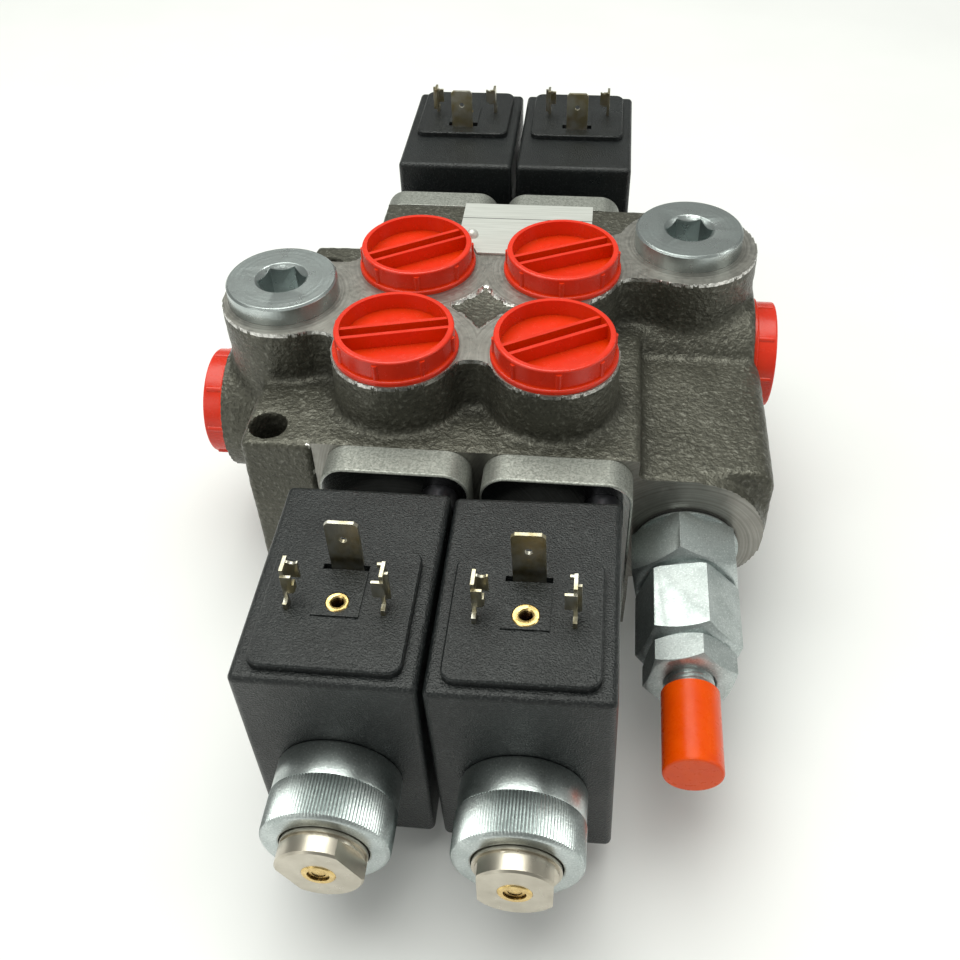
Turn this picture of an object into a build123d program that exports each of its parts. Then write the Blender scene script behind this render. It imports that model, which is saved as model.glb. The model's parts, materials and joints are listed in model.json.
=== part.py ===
from build123d import *
import os
from math import cos, radians

os.makedirs("parts", exist_ok=True)

# Two-spool solenoid directional valve, millimetres, +Z up.
# Origin: centre of the mounting face, midway between the two spools and the two end faces.
# Solenoid pieces are drawn on the front (-Y) side about an axis at x = 0, z = 0, where "out"
# is the distance from y = 0 towards the end of the valve, and are then set on their spool axis.

# ---- cast body -------------------------------------------------------------------------------
SPOOL_PITCH = 35.0
AXIS_H = 30.0                   # spool axis above the mounting face
SHELF_H = AXIS_H + 25.6         # cast shelf in front of and behind the port bosses
TOP_H = AXIS_H + 38.8           # machined port face
RIGHT_H = AXIS_H + 20.3         # top of the block that carries the relief valve
END_FACE = 51.0                 # machined end faces at y = -51 and y = +51
LUG_FACE = 52.0                 # cast ends of the mounting lugs
CORE_LEFT, CORE_RIGHT = -35.0, 37.5
LUG_LEFT, LUG_RIGHT = -50.6, 50.6
LEFT_BLOCK_REAR = 28.0
RIGHT_LUG_FRONT = 27.0

SPOOLS_X = {"left": -SPOOL_PITCH / 2, "right": SPOOL_PITCH / 2}
PORTS_Y = {"a": -32.5, "b": 0.9}
GALLERY_Y = -15.8               # pressure gallery, midway between the A and B ports
TANK_Y, TANK_X, TANK_GALLERY_R = 19.0, -31.5, 4.5     # return gallery
PORT_BOSS_R = 14.6
PORT_FACE_R = 18.8              # cutter that faces the ports; what it misses is the rough diamond
DIAMOND_W, DIAMOND_DEPTH = 24.0, 1.0
TOWER_BASE = AXIS_H + 6.1       # the towers and bosses start here, inside the core
WEB_FILLET = 4.0

PORT_BORE_R = 9.5               # core of the G1/2 port threads
PORT_DEPTH = 15.0
PASSAGE_R = 6.0
SPOOL_BORE_R = 8.0
CAVITY_R, CAVITY_OUT = 10.1, 44.8    # counterbore that takes the solenoid tube

TOWER_LEFT, TOWER_RIGHT = (-47.3, -14.0), (47.6, 13.0)        # vertical port axes
TOWER_LEFT_TOP, TOWER_LEFT_R = (-46.2, -15.2), 15.3           # outline of each tower
TOWER_RIGHT_TOP, TOWER_RIGHT_R = (47.6, 13.0), 17.0
WEB_MIDDLE = (-24.5, 24.5, -36.0, 15.0)                       # webs between bosses and towers:
WEB_LEFT = (TOWER_LEFT[0], SPOOL_PITCH / -2, -28.0, 0.2)      # x from, x to, y from, y to
WEB_RIGHT = (SPOOL_PITCH / 2, TOWER_RIGHT[0], -2.0, 16.5)
SIDE_BOSS_R = 16.3
SIDE_FACE_R = 14.8              # spot face that sinks the inlet port into the overhang
TANK_PORT = (-63.2, -15.8, AXIS_H + 6.1)     # face x, then the axis
INLET_PORT = (65.1, 5.9, AXIS_H + 12.2)
OVERHANG_Z, OVERHANG_X, OVERHANG_Y, OVERHANG_REAR = AXIS_H - 3.0, 67.0, -48.0, 13.0
OVERHANG_ROUND = 4.0

MOUNT_HOLE_R = 4.25
MOUNT_HOLES = [(-45.25, -45.8), (-45.25, 18.0), (45.25, 45.8)]

# ---- solenoids -------------------------------------------------------------------------------
FLANGE_W, FLANGE_H, FLANGE_T, FLANGE_CORNER = 32.6, 51.2, 8.0, 5.7
FLANGE_SHIFT = 2.3              # the flange is wider on one side of the tube
FLANGE_OUT = END_FACE + FLANGE_T
FLANGE_SCREWS = [(12.4, 19.0), (-7.8, -19.0)]       # from the tube axis
SCREW_R, SCREW_HEAD_R, SCREW_HEAD_T, SCREW_DEPTH = 2.5, 4.2, 5.0, 12.0
COLLAR_R, COLLAR_END = 10.0, 54.0
TUBE_R, TUBE_END = 8.0, 126.0
ARMATURE_BORE_R, CORE_END = 6.58, 66.0
SPRING_FLOOR = 53.0
PIN_BORE_R = 2.58
COIL_W, COIL_IN, COIL_OUT, COIL_TOP, COIL_BOTTOM = 33.6, 67.7, 115.3, 29.4, -20.5
COIL_EDGE = 1.3
COIL_BORE_R = 8.25
COIL_ROLL = {("front", "left"): -0.6, ("front", "right"): -1.9,
             ("rear", "left"): 0.0, ("rear", "right"): 0.0}
SPACER_R = 15.4
PAD_W, PAD_L, PAD_T, PAD_CORNER = 27.8, 28.2, 1.6, 2.6
INSERT_OUT, INSERT_HOLE_R, INSERT_L = 98.8, 1.25, 7.0
INSERT_R = {"left": 2.25, "right": 2.6}
BLADE_W, BLADE_T, BLADE_Y, EARTH_H = 6.3, 0.8, 89.1, 11.2
BLADE_ROOT = 3.0                # length of each terminal inside the housing
BLADE_CHAMFER, BLADE_HOLE_R, BLADE_HOLE_DROP = 0.7, 0.75, 4.3
BLADE_SLOT = (1.6, 1.4)         # width and depth of the slot in front of the earth blade
SIDE_X = {-1: 9.15, 1: 8.85}    # from the insert to each current terminal
# Plates of a current terminal: across the web towards the insert, along y, above the pad
SIDE_FOOT = [(-0.4, 0.4, -100.9, -98.8, -BLADE_ROOT, 1.4), (-0.4, 0.4, -99.4, -98.8, 1.2, 3.4)]
SIDE_PLATES = {
    -1: [(-0.35, 0.35, -99.1, -95.5, 4.4, 8.6), (0.0, 2.5, -96.9, -96.3, 4.4, 8.3),
         (-0.35, 1.6, -99.4, -98.8, 2.8, 7.1), (1.4, 1.9, -99.4, -97.9, 3.2, 5.1)],
    1: [(-0.35, 0.35, -99.1, -95.5, 3.2, 8.6), (0.0, 1.1, -96.4, -95.8, 7.8, 8.6),
        (-0.35, 1.9, -99.4, -98.8, 3.2, 7.1), (-1.1, 0.0, -98.2, -97.6, 1.4, 8.3)]}
SIDE_DISH = (1.45, -96.6, 9.2, 1.2)          # notch in a left rear plate: across, y, up, radius
BLOCK_W, BLOCK_IN, BLOCK_OUT, BLOCK_T = 8.8, 91.1, 101.9, 0.35
NUT_R, NUT_OUT, NUT_HOLE_R, KNURL_IN = 12.2, 130.7, 8.4, 122.2
PLUG_R, PLUG_OUT, PLUG_FLATS = 8.2, 135.4, 13.5
PLUG_TURN = {("front", "left"): -28.0, ("front", "right"): 0.0,
             ("rear", "left"): 20.0, ("rear", "right"): 75.0}
PLUG_ROOT, PLUG_GROOVE = 112.0, (131.3, 132.0)               # inner end; groove from, to
BUSH_R, BUSH_BORE_R, BUSH_OUT = 3.2, 2.06, 135.65
OVERRIDE_R, OVERRIDE_OUT, OVERRIDE_IN = 2.0, 135.2, 105.0
OVERRIDE_DIMPLE = (1.3, 0.15)                # radius, depth
WINDING = (9.8, 14.6, 72.0, 111.0)           # inner radius, outer radius, from, to
POLE_RING = (8.3, 15.0, 2.0)                 # inner radius, outer radius, thickness

# ---- spools ----------------------------------------------------------------------------------
SPOOL_R, SPOOL_GROOVE_R, SPOOL_END = 7.95, 5.0, 40.0
SPOOL_GROOVES = [(-36.5, -28.5), (-20.5, -11.0), (-3.0, 5.0), (15.0, 24.0)]
ARMATURE_R, ARMATURE_IN, ARMATURE_OUT, ARMATURE_SLOT = 6.5, 71.6, 104.6, 1.6
PUSH_PIN_R, PUSH_PIN_OUT = 2.5, 77.6
CENTRING_R, CENTRING_WIRE_R, CENTRING_TURNS = 6.0, 0.75, 5

# ---- plugs, caps and plate -------------------------------------------------------------------
HEX_PLUG_R, HEX_PLUG_T, HEX_PLUG_SOCKET, HEX_PLUG_SOCKET_DEPTH = 13.0, 4.4, 10.0, 8.0
HEX_PLUG_TURN = {"left": 12.0, "right": 0.0}
HEX_PLUG_THREAD_L = 12.0
PLUG_SEAL = (10.4, 12.2, 1.0)                # inner radius, outer radius, thickness
HEX_PLUGS = {"left": (-47.3, -14.0), "right": (47.7, 14.0)}
CAP_RIM_R, CAP_LIP_R, CAP_H, CAP_WALL, CAP_FLOOR = 13.2, 14.05, 5.65, 1.25, 1.75
CAP_LIP_T, CAP_PLUG_R, CAP_PLUG_L = 1.1, 9.2, 9.0
CAP_RIB_T, CAP_RIB_GAP, CAP_RIB_DROP = 0.9, 3.3, 0.5
CAP_GRIPS, CAP_GRIP_R, CAP_GRIP_START, CAP_STEM_WALL = 8, 0.75, 22.0, 1.4
CAP_TURN = {"a_left": 14.0, "b_left": 31.0, "a_right": 30.0, "b_right": 25.0,
            "tank": 30.0, "inlet": 60.0}                     # how far each cap's ribs are turned
PLATE_T = 0.6
PLATE_LEFT, PLATE_RIGHT, PLATE_FRONT, PLATE_REAR = -9.0, 24.0, 5.7, 28.9
RIVET_XY, RIVET_R, RIVET_SHANK_R, RIVET_SHANK = (-5.7, 13.4), 1.6, 0.9, 3.0

# ---- relief valve ----------------------------------------------------------------------------
RELIEF_X = 49.2
RELIEF_BOSS, RELIEF_BOSS_R, RELIEF_BOSS_REAR = (50.5, AXIS_H + 4.0), 15.8, -6.0
RELIEF_THREAD_R, RELIEF_NOSE_R, RELIEF_TIP = 10.0, 6.4, 24.0
HEX1_AF, HEX1_IN, HEX1_OUT, HEX1_TURN = 22.4, 52.2, 64.1, 41.0
HEX2_AF, HEX2_IN, HEX2_OUT, HEX2_TURN = 19.4, 65.0, 82.3, 14.0
LOCK_AF, LOCK_OUT, LOCK_TURN = 17.1, 88.8, 20.0
SPINDLE_R, SPINDLE_OUT, SPINDLE_BORE_R = 5.0, 107.9, 5.06
SEAT_IN, SEAT_OUT = 62.0, 65.1
POPPET_R, POPPET_BORE_R, POPPET_OUT = 4.93, 5.0, 42.0
SEAT_HOLE_R, SEAT_FACE = 2.5, 34.0
SPRING_CHAMBER, BONNET_ROOT_R = 57.0, 7.0    # where the cartridge opens out for the bonnet
THREAD_START = 32.0                          # inner end of the cartridge thread
RELIEF_SEAL = (10.6, 11.8, 0.7)              # inner radius, outer radius, thickness
RELIEF_CAP = (5.9, 5.08, 91.6, 109.6, 1.5)   # outer radius, inner radius, from, to, end wall

SIDES = ("front", "rear")
parts = {}


# ---- helpers ---------------------------------------------------------------------------------
def block(x0, x1, y0, y1, z0, z1):
    """Rectangular block between two corners."""
    return Pos((x0 + x1) / 2, (y0 + y1) / 2, (z0 + z1) / 2) * Box(x1 - x0, y1 - y0, z1 - z0)


def upright(radius, x, y, z0, z1):
    """Round bar along Z."""
    return Pos(x, y, (z0 + z1) / 2) * Cylinder(radius, z1 - z0)


def along_x(radius, x0, x1, y, z):
    """Round bar along X."""
    return Pos((x0 + x1) / 2, y, z) * Rot(0, 90, 0) * Cylinder(radius, x1 - x0)


def along_y(radius, y0, y1, x=0.0, z=0.0):
    """Round bar along Y."""
    return Pos(x, (y0 + y1) / 2, z) * Rot(90, 0, 0) * Cylinder(radius, y1 - y0)


def turned(*points):
    """Turned piece on the Y axis: points are (distance out, radius)."""
    outline = Polyline(*[(radius, -out) for out, radius in points], close=True)
    return revolve(make_face(outline), Axis.Y)


def ring(inner, outer, start, end):
    """Plain turned ring on the Y axis."""
    return turned((start, inner), (start, outer), (end, outer), (end, inner))


def hex_bar(across_flats, start, end, turn):
    """Hexagon bar on the Y axis, turned by an angle from vertex-up."""
    outline = RegularPolygon(across_flats / 2, 6, major_radius=False, rotation=turn)
    return extrude(Plane.XZ.offset(start) * outline, end - start)


def hexagon_nut(across_flats, start, end, turn, near=0.0, far=0.0):
    """Hexagon with 30 degree chamfers; near and far say how deep they reach at each end."""
    corner = across_flats / 2 / cos(radians(30)) + 0.05
    slope = 1.75
    outline = [(start, 0), (start, corner - near * slope), (start + near, corner),
               (end - far, corner), (end, corner - far * slope), (end, 0)]
    kept = [p for i, p in enumerate(outline) if i == 0 or p != outline[i - 1]]
    return hex_bar(across_flats, start, end, turn) & turned(*kept)


def place(piece, side, x, roll=0.0):
    """Set a front-side piece on a spool axis at the front or the rear."""
    turn = 0 if side == "front" else 180
    return Pos(x, 0, AXIS_H) * Rot(0, 0, turn) * Rot(0, roll, 0) * piece


def group(pieces):
    """Several separate solids in one node."""
    return Compound([solid for piece in pieces for solid in piece.solids()])


def coil_spring(radius, wire, turns, start, end):
    """Helical spring on the Y axis between two distances out."""
    height = end - start - 2 * wire
    path = Helix(pitch=height / turns, height=height, radius=radius)
    section = Plane(path @ 0, z_dir=path % 0) * Circle(wire)
    return Pos(0, -start - wire, 0) * Rot(90, 0, 0) * sweep(section, path=path)


# ---- cast body -------------------------------------------------------------------------------
def top_outline():
    """Outline of the raised port face, with cast fillets in its inner corners."""
    def rect(x0, x1, y0, y1):
        return Pos((x0 + x1) / 2, (y0 + y1) / 2) * Rectangle(x1 - x0, y1 - y0)

    outline = rect(*WEB_MIDDLE) + rect(*WEB_LEFT) + rect(*WEB_RIGHT)
    for x in SPOOLS_X.values():
        for y in PORTS_Y.values():
            outline += Pos(x, y) * Circle(PORT_BOSS_R)
    outline += Pos(*TOWER_LEFT_TOP) * Circle(TOWER_LEFT_R)
    outline += Pos(*TOWER_RIGHT_TOP) * Circle(TOWER_RIGHT_R)
    return offset(offset(outline, WEB_FILLET), -WEB_FILLET)


def rough_diamond():
    """Patch between the four ports that the facing cutter leaves as cast."""
    patch = Pos(0, GALLERY_Y) * Rectangle(DIAMOND_W, DIAMOND_W)
    for x in SPOOLS_X.values():
        for y in PORTS_Y.values():
            patch -= Pos(x, y) * Circle(PORT_FACE_R)
    return Pos(0, 0, TOP_H - DIAMOND_DEPTH) * extrude(patch, 2 * DIAMOND_DEPTH)


def casting():
    """Outer shape of the body before drilling."""
    solid = block(CORE_LEFT, CORE_RIGHT, -END_FACE, END_FACE, 0, SHELF_H)
    solid += block(LUG_LEFT, CORE_LEFT + 1, -LUG_FACE, LEFT_BLOCK_REAR, 0, SHELF_H)
    solid += block(CORE_RIGHT - 1, LUG_RIGHT, RIGHT_LUG_FRONT, LUG_FACE, 0, SHELF_H)
    solid -= block(CORE_LEFT, CORE_LEFT + 1, -LUG_FACE, -END_FACE, 0, SHELF_H)
    solid -= block(CORE_RIGHT - 1, CORE_RIGHT, END_FACE, LUG_FACE, 0, SHELF_H)
    solid += Pos(0, 0, TOWER_BASE) * extrude(top_outline(), TOP_H - TOWER_BASE)
    solid += along_x(SIDE_BOSS_R, TANK_PORT[0], CORE_LEFT, *TANK_PORT[1:])
    solid += along_x(SIDE_BOSS_R, CORE_RIGHT, INLET_PORT[0], *INLET_PORT[1:])
    overhang = block(CORE_RIGHT - 1, OVERHANG_X, OVERHANG_Y, OVERHANG_REAR, OVERHANG_Z, RIGHT_H)
    outer = overhang.edges().filter_by(Axis.Y).group_by(Axis.X)[-1]
    solid += fillet(outer, OVERHANG_ROUND)
    boss_x, boss_z = RELIEF_BOSS
    solid += along_y(RELIEF_BOSS_R, -END_FACE, RELIEF_BOSS_REAR, boss_x, boss_z)
    solid += block(CORE_RIGHT - 1, boss_x, -END_FACE, RELIEF_BOSS_REAR,
                   boss_z - RELIEF_BOSS_R, RIGHT_H)
    face, y, z = INLET_PORT
    solid -= along_x(SIDE_FACE_R, face, OVERHANG_X + 1, y, z)
    return solid - rough_diamond()


def drillings():
    """Ports, spool bores, galleries, cavities and holes, as one tool."""
    tools = []
    for x in SPOOLS_X.values():
        tools.append(along_y(SPOOL_BORE_R, -END_FACE - 1, END_FACE + 1, x, AXIS_H))
        for y in PORTS_Y.values():
            tools.append(upright(PORT_BORE_R, x, y, TOP_H - PORT_DEPTH, TOP_H + 1))
            tools.append(upright(PASSAGE_R, x, y, AXIS_H, TOP_H))
        for side in SIDES:
            tools.append(place(along_y(CAVITY_R, -END_FACE - 1, -CAVITY_OUT), side, x))
            tools.extend(place(piece, side, x) for piece in screw_holes())
    tools.append(along_x(PASSAGE_R, SPOOLS_X["left"], RELIEF_X, GALLERY_Y, AXIS_H))
    tools.append(along_x(TANK_GALLERY_R, TANK_X, SPOOLS_X["right"], TANK_Y, AXIS_H))
    tools.append(along_y(TANK_GALLERY_R, TOWER_LEFT[1], TANK_Y, TANK_X, AXIS_H))
    tools.append(along_x(TANK_GALLERY_R, TOWER_LEFT[0], TANK_X, TOWER_LEFT[1], AXIS_H))
    for x, y in HEX_PLUGS.values():
        tools.append(upright(PORT_BORE_R, x, y, TOP_H - PORT_DEPTH, TOP_H + 1))
    tools.append(upright(PASSAGE_R, *TOWER_LEFT, AXIS_H, TOP_H))
    tools.append(upright(PASSAGE_R, *TOWER_RIGHT, AXIS_H + 6, TOP_H))
    face, y, z = TANK_PORT
    tools.append(along_x(PORT_BORE_R, face - 1, face + PORT_DEPTH, y, z))
    tools.append(along_x(PASSAGE_R, face, TOWER_LEFT[0], y, z))
    face, y, z = INLET_PORT
    tools.append(along_x(PORT_BORE_R, face - PORT_DEPTH, face + 1, y, z))
    tools.append(along_x(PASSAGE_R, TOWER_RIGHT[0], face, y, z))
    tools.append(along_y(PASSAGE_R, GALLERY_Y, y, TOWER_RIGHT[0], AXIS_H + 7))
    tools.append(along_y(RELIEF_THREAD_R, -END_FACE - 1, 1 - THREAD_START, RELIEF_X, AXIS_H))
    tools.append(along_y(RELIEF_NOSE_R, -THREAD_START, GALLERY_Y, RELIEF_X, AXIS_H))
    tools.append(upright(RIVET_SHANK_R, *RIVET_XY, TOP_H - RIVET_SHANK, TOP_H + 1))
    tools.extend(upright(MOUNT_HOLE_R, x, y, -1, SHELF_H + 1) for x, y in MOUNT_HOLES)
    return tools


def valve_body():
    solid = casting()
    for tool in drillings():
        solid -= tool
    return solid


# ---- solenoid pieces, drawn at the front -----------------------------------------------------
def screw_holes():
    return [along_y(SCREW_R, -END_FACE - 1, -END_FACE + SCREW_DEPTH, x, z)
            for x, z in FLANGE_SCREWS]


def flange():
    outline = Pos(FLANGE_SHIFT, 0) * RectangleRounded(FLANGE_W, FLANGE_H, FLANGE_CORNER)
    plate = extrude(Plane.XZ.offset(END_FACE) * outline, FLANGE_T)
    plate = chamfer(plate.faces().sort_by(Axis.Y)[0].outer_wire().edges(), 0.4)
    plate -= along_y(TUBE_R + 0.2, -FLANGE_OUT - 1, -END_FACE)
    plate -= along_y(COLLAR_R, -COLLAR_END, -END_FACE)
    for x, z in FLANGE_SCREWS:
        plate -= along_y(SCREW_R, -FLANGE_OUT - 1, -END_FACE, x, z)
    return plate


def flange_screw(x, z):
    shank = along_y(SCREW_R, -FLANGE_OUT, -END_FACE + SCREW_DEPTH - 1, x, z)
    head = along_y(SCREW_HEAD_R, -FLANGE_OUT - SCREW_HEAD_T, -FLANGE_OUT, x, z)
    head = chamfer(head.faces().sort_by(Axis.Y)[0].outer_wire().edges(), 0.4)
    socket = Pos(x, 0, z) * hex_bar(4.0, FLANGE_OUT + 2.4, FLANGE_OUT + SCREW_HEAD_T + 1, 0)
    return shank + head - socket


def tube_seal_groove():
    return ring(COLLAR_R - 1.4, COLLAR_R + 1, 47.0, 49.0)


def tube_seal():
    return ring(COLLAR_R - 1.4, COLLAR_R + 0.1, 47.1, 48.9)


def solenoid_tube():
    return turned(
        (CAVITY_OUT + 0.2, SPOOL_BORE_R), (CAVITY_OUT + 0.2, COLLAR_R), (COLLAR_END, COLLAR_R),
        (COLLAR_END, TUBE_R), (TUBE_END, TUBE_R), (TUBE_END, ARMATURE_BORE_R),
        (CORE_END, ARMATURE_BORE_R), (CORE_END, PIN_BORE_R), (SPRING_FLOOR, PIN_BORE_R),
        (SPRING_FLOOR, SPOOL_BORE_R)) - tube_seal_groove()


def coil_spacer():
    return ring(COIL_BORE_R, SPACER_R, FLANGE_OUT, COIL_IN)


def winding():
    inner, outer, start, end = WINDING
    return ring(inner, outer, start, end)


def pole_rings():
    inner, outer, thickness = POLE_RING
    near, far = WINDING[2] - thickness, WINDING[3]
    return [ring(inner, outer, near, near + thickness), ring(inner, outer, far, far + thickness)]


def connector_insert(hand):
    top, radius = COIL_TOP + PAD_T + BLOCK_T + 0.15, INSERT_R[hand]
    bush = upright(radius, 0, -INSERT_OUT, top - INSERT_L, top)
    bush = chamfer(bush.faces().sort_by(Axis.Z)[-1].outer_wire().edges(), 0.25)
    return bush - upright(INSERT_HOLE_R, 0, -INSERT_OUT, top - INSERT_L, top + 1)


def earth_blade():
    base, top = COIL_TOP + PAD_T - BLADE_ROOT, COIL_TOP + PAD_T + EARTH_H
    near, far = -BLADE_Y - BLADE_T / 2, -BLADE_Y + BLADE_T / 2
    blade = block(-BLADE_W / 2, BLADE_W / 2, near, far, base, top)
    corners = blade.edges().filter_by(Axis.Y).group_by(Axis.Z)[-1]
    blade = chamfer(corners, BLADE_CHAMFER)
    return blade - along_y(BLADE_HOLE_R, near - 1, far + 1, 0, top - BLADE_HOLE_DROP)


def side_blade(direction):
    """Current terminal folded from strip: a web along Y with plates turned in, on a stepped foot."""
    pad = COIL_TOP + PAD_T
    web_x, inward = direction * SIDE_X[direction], -direction
    blade = None
    for near, far, front, back, low, high in SIDE_FOOT + SIDE_PLATES[direction]:
        left, right = sorted((web_x + inward * near, web_x + inward * far))
        plate = block(left, right, front, back, pad + low, pad + high)
        blade = blade + plate if blade else plate
    if direction < 0:
        across, y, up, radius = SIDE_DISH
        blade -= along_y(radius, y - 0.5, y + 0.5, web_x + inward * across, pad + up)
    return blade


def coil_housing(hand):
    shell = block(-COIL_W / 2, COIL_W / 2, -COIL_OUT, -COIL_IN, COIL_BOTTOM, COIL_TOP)
    shell = fillet(shell.edges(), COIL_EDGE)
    pad_y = -INSERT_OUT - 0.3
    outline = Pos(0, pad_y) * RectangleRounded(PAD_W, PAD_L, PAD_CORNER)
    pad = Pos(0, 0, COIL_TOP - 1) * extrude(outline, PAD_T + 1)
    shell += chamfer(pad.faces().sort_by(Axis.Z)[-1].outer_wire().edges(), 0.3)
    top = COIL_TOP + PAD_T
    shell += block(-BLOCK_W / 2, BLOCK_W / 2, -BLOCK_OUT, -BLOCK_IN, COIL_TOP, top + BLOCK_T)
    width, depth = BLADE_SLOT
    shell -= block(-BLOCK_W / 2, BLOCK_W / 2, -BLOCK_IN, -BLOCK_IN + width, top - depth, top + 1)
    shell -= along_y(COIL_BORE_R, -COIL_OUT - 1, -COIL_IN + 1)
    shell -= winding()
    for piece in pole_rings():
        shell -= piece
    shell -= upright(INSERT_R[hand], 0, -INSERT_OUT, top + BLOCK_T + 0.15 - INSERT_L, top + 2)
    for terminal in (earth_blade(), side_blade(-1), side_blade(1)):
        shell -= terminal
    return shell


def coil_nut():
    """Round nut: plain band next to the coil, raised band for the knurl, flat front face."""
    return turned(
        (COIL_OUT + 0.9, TUBE_R), (COIL_OUT + 0.9, 9.4), (COIL_OUT + 2.0, 9.4),
        (COIL_OUT + 2.0, 11.3), (COIL_OUT, 11.3), (COIL_OUT, NUT_R - 0.5),
        (COIL_OUT + 0.5, NUT_R - 0.1), (KNURL_IN - 0.1, NUT_R - 0.1), (KNURL_IN, NUT_R),
        (NUT_OUT - 0.7, NUT_R), (NUT_OUT, NUT_R - 1.0), (NUT_OUT, NUT_HOLE_R),
        (TUBE_END, NUT_HOLE_R), (TUBE_END, TUBE_R))


def nut_seal():
    return ring(9.5, 11.2, COIL_OUT, COIL_OUT + 1.9)


def end_plug(turn):
    """Nickel end plug with a grooved collar and two wrench flats."""
    groove_in, groove_out = PLUG_GROOVE
    body = turned(
        (PLUG_ROOT, BUSH_R), (PLUG_ROOT, ARMATURE_BORE_R), (TUBE_END, ARMATURE_BORE_R),
        (TUBE_END, PLUG_R), (groove_in, PLUG_R), (groove_in, PLUG_R - 0.6),
        (groove_out, PLUG_R - 0.6), (groove_out, PLUG_R), (PLUG_OUT - 0.4, PLUG_R),
        (PLUG_OUT, PLUG_R - 0.4), (PLUG_OUT, BUSH_R))
    for sign in (-1, 1):
        near, far = sorted((sign * PLUG_FLATS / 2, sign * (PLUG_R + 1)))
        flat = block(near, far, -PLUG_OUT - 1, -groove_out, -PLUG_R, PLUG_R)
        body -= Rot(0, turn, 0) * flat
    return body


def override_bush():
    return turned((PLUG_ROOT, BUSH_BORE_R), (PLUG_ROOT, BUSH_R), (BUSH_OUT - 0.25, BUSH_R),
                  (BUSH_OUT, BUSH_R - 0.25), (BUSH_OUT, BUSH_BORE_R))


def override_pin():
    pin = along_y(OVERRIDE_R, -OVERRIDE_OUT, -OVERRIDE_IN)
    radius, depth = OVERRIDE_DIMPLE
    return pin - along_y(radius, -OVERRIDE_OUT - 1, -OVERRIDE_OUT + depth)


# ---- moving inner pieces ---------------------------------------------------------------------
def spool():
    bar = along_y(SPOOL_R, -SPOOL_END, SPOOL_END)
    for start, end in SPOOL_GROOVES:
        bar -= along_y(SPOOL_R + 1, start, end) - along_y(SPOOL_GROOVE_R, start, end)
    return chamfer(bar.edges().group_by(Axis.Y)[0] + bar.edges().group_by(Axis.Y)[-1], 0.5)


def armature():
    bar = along_y(ARMATURE_R, -ARMATURE_OUT, -ARMATURE_IN)
    bar -= along_y(PUSH_PIN_R, -PUSH_PIN_OUT, -ARMATURE_IN + 1)
    slot = ARMATURE_SLOT / 2
    for z in (-ARMATURE_R, ARMATURE_R):
        bar -= block(-slot, slot, -ARMATURE_OUT - 1, -ARMATURE_IN + 1, z - slot, z + slot)
    return bar


def push_pin():
    return along_y(PUSH_PIN_R, -PUSH_PIN_OUT, -SPOOL_END)


def centring_spring():
    return coil_spring(CENTRING_R, CENTRING_WIRE_R, CENTRING_TURNS,
                       SPOOL_END + 0.05, SPRING_FLOOR - 0.05)


# ---- plugs, caps and plate -------------------------------------------------------------------
def plug_seal_ring(x, y):
    inner, outer, thickness = PLUG_SEAL
    return upright(outer, x, y, TOP_H, TOP_H + thickness) - upright(inner, x, y, TOP_H - 1, TOP_H + 2)


def hex_plug(x, y, turn):
    """Collared plug with a hexagon socket, drawn upright."""
    top = TOP_H + HEX_PLUG_T
    head = upright(HEX_PLUG_R, x, y, TOP_H, top)
    head = chamfer(head.faces().sort_by(Axis.Z)[-1].outer_wire().edges(), 0.5)
    plug = head + upright(PORT_BORE_R, x, y, TOP_H - HEX_PLUG_THREAD_L, TOP_H)
    outline = Rot(0, 0, turn) * RegularPolygon(HEX_PLUG_SOCKET / 2, 6, major_radius=False)
    plug -= Pos(x, y, top - HEX_PLUG_SOCKET_DEPTH) * extrude(outline, HEX_PLUG_SOCKET_DEPTH + 1)
    plug -= Pos(x, y, top - 0.6) * Cone(5.0, 6.2, 1.2)
    return plug - plug_seal_ring(x, y)


def port_cap(rib_turn):
    """Plastic port cap, drawn upright with its lip on z = 0."""
    cap = upright(CAP_LIP_R, 0, 0, 0, CAP_LIP_T)
    cap = fillet(cap.faces().sort_by(Axis.Z)[-1].outer_wire().edges(), 0.5)
    side = upright(CAP_RIM_R, 0, 0, 0, CAP_H)
    cap += fillet(side.faces().sort_by(Axis.Z)[-1].outer_wire().edges(), 0.45)
    cap -= upright(CAP_RIM_R - CAP_WALL, 0, 0, CAP_FLOOR, CAP_H + 1)
    ribs = []
    for sign in (-1, 1):
        y = sign * CAP_RIB_GAP / 2
        rib = block(-CAP_RIM_R, CAP_RIM_R, y - CAP_RIB_T / 2, y + CAP_RIB_T / 2,
                    CAP_FLOOR - 0.5, CAP_H - CAP_RIB_DROP)
        ribs.append(rib & upright(CAP_RIM_R - 0.6, 0, 0, 0, CAP_H))
    grip = upright(CAP_GRIP_R, CAP_RIM_R - 0.3, 0, 0.5, CAP_H - 0.9)
    ribs.extend(Rot(0, 0, CAP_GRIP_START + i * 360 / CAP_GRIPS) * grip for i in range(CAP_GRIPS))
    for rib in ribs:
        cap += rib
    stem = upright(CAP_PLUG_R, 0, 0, -CAP_PLUG_L, 0.5)
    cap += stem - upright(CAP_PLUG_R - CAP_STEM_WALL, 0, 0, -CAP_PLUG_L - 1, -0.3)
    return Rot(0, 0, rib_turn) * cap


def name_plate():
    corners = [(PLATE_LEFT, PLATE_REAR), (PLATE_RIGHT, PLATE_REAR), (PLATE_RIGHT, PLATE_FRONT),
               (-3.8, PLATE_FRONT), (-7.6, 10.5), (PLATE_LEFT, 12.5)]
    outline = make_face(Polyline(*corners, close=True))
    for x in SPOOLS_X.values():
        outline -= Pos(x, PORTS_Y["b"]) * Circle(PORT_BOSS_R)
    outline -= Pos(*RIVET_XY) * Circle(RIVET_SHANK_R)
    plate = extrude(outline, PLATE_T).solids().sort_by(SortBy.VOLUME)[-1]
    return Pos(0, 0, TOP_H) * plate


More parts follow.
